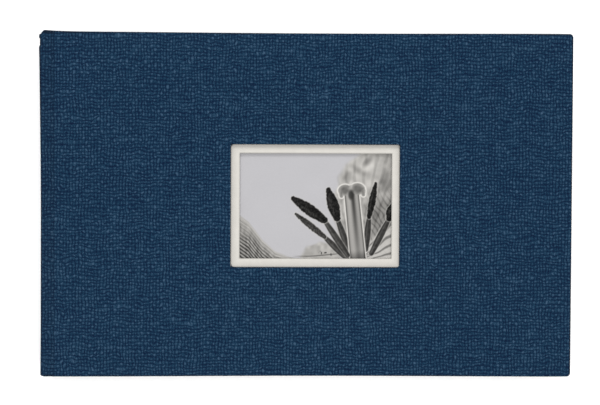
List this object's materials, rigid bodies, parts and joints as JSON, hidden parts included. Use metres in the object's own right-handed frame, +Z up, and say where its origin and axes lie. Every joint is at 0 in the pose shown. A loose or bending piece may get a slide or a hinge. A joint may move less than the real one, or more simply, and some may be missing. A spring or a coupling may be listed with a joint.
{
  "type": "scrapbook album",
  "caption": "Small landscape book-bound scrapbook album in linen-look cloth, with a framed picture window in its front cover and card leaves with glassine sheets.",
  "frame": {"origin": "middle of the underside of the closed album, on the surface it lies on", "axes": "+X from the spine to the fore edge, +Y from the tail to the head, +Z up out of the front cover"},
  "size_m": [0.17, 0.11, 0.0191],
  "materials": {
    "cloth": "woven linen-look book cloth, matt",
    "greyboard": "matt",
    "endpaper": "matt",
    "mat_card": "matt",
    "print": "semi-gloss",
    "leaf_card": "matt",
    "glassine": "smooth translucent",
    "lining": "matt",
    "headband": "silk"
  },
  "bodies": {
    "back_cover": {"back_cover_cloth": "cloth", "back_board": "greyboard", "back_joint_cloth": "cloth", "back_infill_card": "greyboard", "back_pastedown": "endpaper"},
    "spine": {"spine_cloth": "cloth", "spine_board": "greyboard", "spine_lining": "lining", "sewn_spine": "lining", "headband_head": "headband", "headband_tail": "headband"},
    "front_cover": {"front_cover_cloth": "cloth", "front_board": "greyboard", "front_joint_cloth": "cloth", "front_infill_card": "greyboard", "front_pastedown": "endpaper", "window_mat": "mat_card", "photo_pocket": "endpaper"},
    "cover_print": {"cover_print": "print"},
    "back_flyleaf": {"back_flyleaf": "endpaper"},
    "leaf_01": {"leaf_01": "leaf_card"},
    "glassine_01": {"glassine_01": "glassine"},
    "leaf_02": {"leaf_02": "leaf_card"},
    "glassine_02": {"glassine_02": "glassine"},
    "leaf_03": {"leaf_03": "leaf_card"},
    "glassine_03": {"glassine_03": "glassine"},
    "leaf_04": {"leaf_04": "leaf_card"},
    "glassine_04": {"glassine_04": "glassine"},
    "leaf_05": {"leaf_05": "leaf_card"},
    "glassine_05": {"glassine_05": "glassine"},
    "leaf_06": {"leaf_06": "leaf_card"},
    "glassine_06": {"glassine_06": "glassine"},
    "leaf_07": {"leaf_07": "leaf_card"},
    "glassine_07": {"glassine_07": "glassine"},
    "leaf_08": {"leaf_08": "leaf_card"},
    "glassine_08": {"glassine_08": "glassine"},
    "leaf_09": {"leaf_09": "leaf_card"},
    "glassine_09": {"glassine_09": "glassine"},
    "leaf_10": {"leaf_10": "leaf_card"},
    "glassine_10": {"glassine_10": "glassine"},
    "leaf_11": {"leaf_11": "leaf_card"},
    "glassine_11": {"glassine_11": "glassine"},
    "leaf_12": {"leaf_12": "leaf_card"},
    "front_flyleaf": {"front_flyleaf": "endpaper"}
  },
  "joints": [
    {"name": "back_joint", "type": "hinge", "parent": "back_cover", "child": "spine", "pos_m": [-0.085, 0, 0], "axis": [0, -1, 0], "range_deg": [0, 90]},
    {"name": "cover_opening", "type": "hinge", "parent": "spine", "child": "front_cover", "pos_m": [-0.085, 0, 0.0191], "axis": [0, -1, 0], "range_deg": [0, 90]},
    {"name": "print_slide", "type": "slide", "parent": "front_cover", "child": "cover_print", "axis": [0, 1, 0], "range_m": [0, 0.045]},
    {"name": "back_flyleaf_turn", "type": "hinge", "parent": "spine", "child": "back_flyleaf", "pos_m": [-0.0813, 0, 0.0034], "axis": [0, -1, 0], "range_deg": [-88.81, 0]},
    {"name": "leaf_01_turn", "type": "hinge", "parent": "spine", "child": "leaf_01", "pos_m": [-0.0813, 0, 0.00395], "axis": [0, -1, 0], "range_deg": [-85.44, 0]},
    {"name": "glassine_01_turn", "type": "hinge", "parent": "spine", "child": "glassine_01", "pos_m": [-0.0813, 0, 0.00443], "axis": [0, -1, 0], "range_deg": [-83.35, 0]},
    {"name": "leaf_02_turn", "type": "hinge", "parent": "spine", "child": "leaf_02", "pos_m": [-0.0813, 0, 0.0049], "axis": [0, -1, 0], "range_deg": [-81.54, 0]},
    {"name": "glassine_02_turn", "type": "hinge", "parent": "spine", "child": "glassine_02", "pos_m": [-0.0813, 0, 0.00537], "axis": [0, -1, 0], "range_deg": [-79.95, 0]},
    {"name": "leaf_03_turn", "type": "hinge", "parent": "spine", "child": "leaf_03", "pos_m": [-0.0813, 0, 0.00585], "axis": [0, -1, 0], "range_deg": [-78.48, 0]},
    {"name": "glassine_03_turn", "type": "hinge", "parent": "spine", "child": "glassine_03", "pos_m": [-0.0813, 0, 0.00632], "axis": [0, -1, 0], "range_deg": [-77.17, 0]},
    {"name": "leaf_04_turn", "type": "hinge", "parent": "spine", "child": "leaf_04", "pos_m": [-0.0813, 0, 0.0068], "axis": [0, -1, 0], "range_deg": [-75.86, 0]},
    {"name": "glassine_04_turn", "type": "hinge", "parent": "spine", "child": "glassine_04", "pos_m": [-0.0813, 0, 0.00728], "axis": [0, -1, 0], "range_deg": [-74.69, 0]},
    {"name": "leaf_05_turn", "type": "hinge", "parent": "spine", "child": "leaf_05", "pos_m": [-0.0813, 0, 0.00775], "axis": [0, -1, 0], "range_deg": [-73.52, 0]},
    {"name": "glassine_05_turn", "type": "hinge", "parent": "spine", "child": "glassine_05", "pos_m": [-0.0813, 0, 0.00822], "axis": [0, -1, 0], "range_deg": [-72.49, 0]},
    {"name": "leaf_06_turn", "type": "hinge", "parent": "spine", "child": "leaf_06", "pos_m": [-0.0813, 0, 0.0087], "axis": [0, -1, 0], "range_deg": [-71.46, 0]},
    {"name": "glassine_06_turn", "type": "hinge", "parent": "spine", "child": "glassine_06", "pos_m": [-0.0813, 0, 0.00918], "axis": [0, -1, 0], "range_deg": [-70.53, 0]},
    {"name": "leaf_07_turn", "type": "hinge", "parent": "spine", "child": "leaf_07", "pos_m": [-0.0813, 0, 0.00965], "axis": [0, -1, 0], "range_deg": [0, 71.46]},
    {"name": "glassine_07_turn", "type": "hinge", "parent": "spine", "child": "glassine_07", "pos_m": [-0.0813, 0, 0.01013], "axis": [0, -1, 0], "range_deg": [0, 72.49]},
    {"name": "leaf_08_turn", "type": "hinge", "parent": "spine", "child": "leaf_08", "pos_m": [-0.0813, 0, 0.0106], "axis": [0, -1, 0], "range_deg": [0, 73.52]},
    {"name": "glassine_08_turn", "type": "hinge", "parent": "spine", "child": "glassine_08", "pos_m": [-0.0813, 0, 0.01107], "axis": [0, -1, 0], "range_deg": [0, 74.69]},
    {"name": "leaf_09_turn", "type": "hinge", "parent": "spine", "child": "leaf_09", "pos_m": [-0.0813, 0, 0.01155], "axis": [0, -1, 0], "range_deg": [0, 75.86]},
    {"name": "glassine_09_turn", "type": "hinge", "parent": "spine", "child": "glassine_09", "pos_m": [-0.0813, 0, 0.01202], "axis": [0, -1, 0], "range_deg": [0, 77.17]},
    {"name": "leaf_10_turn", "type": "hinge", "parent": "spine", "child": "leaf_10", "pos_m": [-0.0813, 0, 0.0125], "axis": [0, -1, 0], "range_deg": [0, 78.48]},
    {"name": "glassine_10_turn", "type": "hinge", "parent": "spine", "child": "glassine_10", "pos_m": [-0.0813, 0, 0.01298], "axis": [0, -1, 0], "range_deg": [0, 79.95]},
    {"name": "leaf_11_turn", "type": "hinge", "parent": "spine", "child": "leaf_11", "pos_m": [-0.0813, 0, 0.01345], "axis": [0, -1, 0], "range_deg": [0, 81.54]},
    {"name": "glassine_11_turn", "type": "hinge", "parent": "spine", "child": "glassine_11", "pos_m": [-0.0813, 0, 0.01392], "axis": [0, -1, 0], "range_deg": [0, 83.35]},
    {"name": "leaf_12_turn", "type": "hinge", "parent": "spine", "child": "leaf_12", "pos_m": [-0.0813, 0, 0.0144], "axis": [0, -1, 0], "range_deg": [0, 85.44]},
    {"name": "front_flyleaf_turn", "type": "hinge", "parent": "spine", "child": "front_flyleaf", "pos_m": [-0.0813, 0, 0.01495], "axis": [0, -1, 0], "range_deg": [0, 88.81]}
  ],
  "couplings": [
    {"joint": "back_joint", "follows": "cover_opening", "ratio": 1},
    {"joint": "back_flyleaf_turn", "follows": "cover_opening", "ratio": -0.9867},
    {"joint": "leaf_01_turn", "follows": "cover_opening", "ratio": -0.9492},
    {"joint": "glassine_01_turn", "follows": "cover_opening", "ratio": -0.926},
    {"joint": "leaf_02_turn", "follows": "cover_opening", "ratio": -0.9059},
    {"joint": "glassine_02_turn", "follows": "cover_opening", "ratio": -0.8882},
    {"joint": "leaf_03_turn", "follows": "cover_opening", "ratio": -0.8719},
    {"joint": "glassine_03_turn", "follows": "cover_opening", "ratio": -0.8573},
    {"joint": "leaf_04_turn", "follows": "cover_opening", "ratio": -0.8428},
    {"joint": "glassine_04_turn", "follows": "cover_opening", "ratio": -0.8298},
    {"joint": "leaf_05_turn", "follows": "cover_opening", "ratio": -0.8168},
    {"joint": "glassine_05_turn", "follows": "cover_opening", "ratio": -0.8053},
    {"joint": "leaf_06_turn", "follows": "cover_opening", "ratio": -0.7939},
    {"joint": "glassine_06_turn", "follows": "cover_opening", "ratio": -0.7836},
    {"joint": "leaf_07_turn", "follows": "cover_opening", "ratio": 0.7939},
    {"joint": "glassine_07_turn", "follows": "cover_opening", "ratio": 0.8053},
    {"joint": "leaf_08_turn", "follows": "cover_opening", "ratio": 0.8168},
    {"joint": "glassine_08_turn", "follows": "cover_opening", "ratio": 0.8298},
    {"joint": "leaf_09_turn", "follows": "cover_opening", "ratio": 0.8428},
    {"joint": "glassine_09_turn", "follows": "cover_opening", "ratio": 0.8573},
    {"joint": "leaf_10_turn", "follows": "cover_opening", "ratio": 0.8719},
    {"joint": "glassine_10_turn", "follows": "cover_opening", "ratio": 0.8882},
    {"joint": "leaf_11_turn", "follows": "cover_opening", "ratio": 0.9059},
    {"joint": "glassine_11_turn", "follows": "cover_opening", "ratio": 0.926},
    {"joint": "leaf_12_turn", "follows": "cover_opening", "ratio": 0.9492},
    {"joint": "front_flyleaf_turn", "follows": "cover_opening", "ratio": 0.9867}
  ]
}
